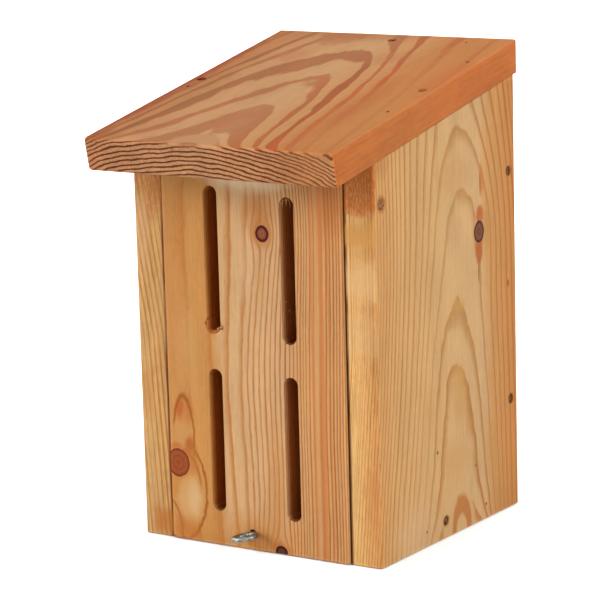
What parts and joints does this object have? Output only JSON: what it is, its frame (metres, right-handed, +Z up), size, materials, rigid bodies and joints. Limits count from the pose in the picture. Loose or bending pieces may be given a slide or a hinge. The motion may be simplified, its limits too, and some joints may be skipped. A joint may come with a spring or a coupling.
{
  "type": "butterfly house",
  "caption": "Wooden box with an overhanging sloped roof and a front board with upright slots that swings open at the bottom, held shut by a screw eye.",
  "frame": {"origin": "on the ground, midway across the width and midway between the roof's front edge and the back board's rear face", "axes": "+Z up, -Y towards the slotted front, +X to the right as seen from the front"},
  "size_m": [0.152, 0.1846, 0.2563],
  "materials": {
    "larch_roof": "planed bare larch with bold red-brown latewood bands, knot-free, slightly worn edges",
    "larch_side": "planed bare larch, straight grain and arched figure, one grey-brown knot",
    "larch_back": "planed bare larch, straight grain",
    "larch_floor": "planed bare larch, straight grain",
    "larch_door": "planed bare larch, fine stripes and red-brown knots, routed slots with torn fibres",
    "steel_nail": "bare steel nails and pins, dull and dark",
    "zinc_wire": "bright zinc-plated steel wire"
  },
  "bodies": {
    "house": {"roof": "larch_roof", "side_left": "larch_side", "side_right": "larch_side", "back_board": "larch_back", "floor_board": "larch_floor", "pivot_nail_left": "steel_nail", "pivot_nail_right": "steel_nail", "roof_nail_left": "steel_nail", "roof_nail_right": "steel_nail", "roof_nail_back": "steel_nail", "back_nail_left_high": "steel_nail", "back_nail_left_low": "steel_nail", "back_nail_right_high": "steel_nail", "back_nail_right_low": "steel_nail", "floor_nail_left": "steel_nail", "floor_nail_right": "steel_nail", "floor_pin_left_front": "steel_nail", "floor_pin_left_rear": "steel_nail", "floor_pin_right_front": "steel_nail", "floor_pin_right_rear": "steel_nail", "roof_pin_left": "steel_nail", "roof_pin_right_front": "steel_nail", "roof_pin_right_rear": "steel_nail", "roof_pin_back": "steel_nail"},
    "door": {"door": "larch_door"},
    "eye": {"screw_eye": "zinc_wire"}
  },
  "joints": [
    {"name": "door_swing", "type": "hinge", "parent": "house", "child": "door", "pos_m": [0, -0.04614, 0.1875], "axis": [-1, 0, 0], "range_deg": [0, 95]},
    {"name": "eye_draw", "type": "slide", "parent": "door", "child": "eye", "axis": [0, -1, 0], "range_m": [0, 0.012]}
  ]
}
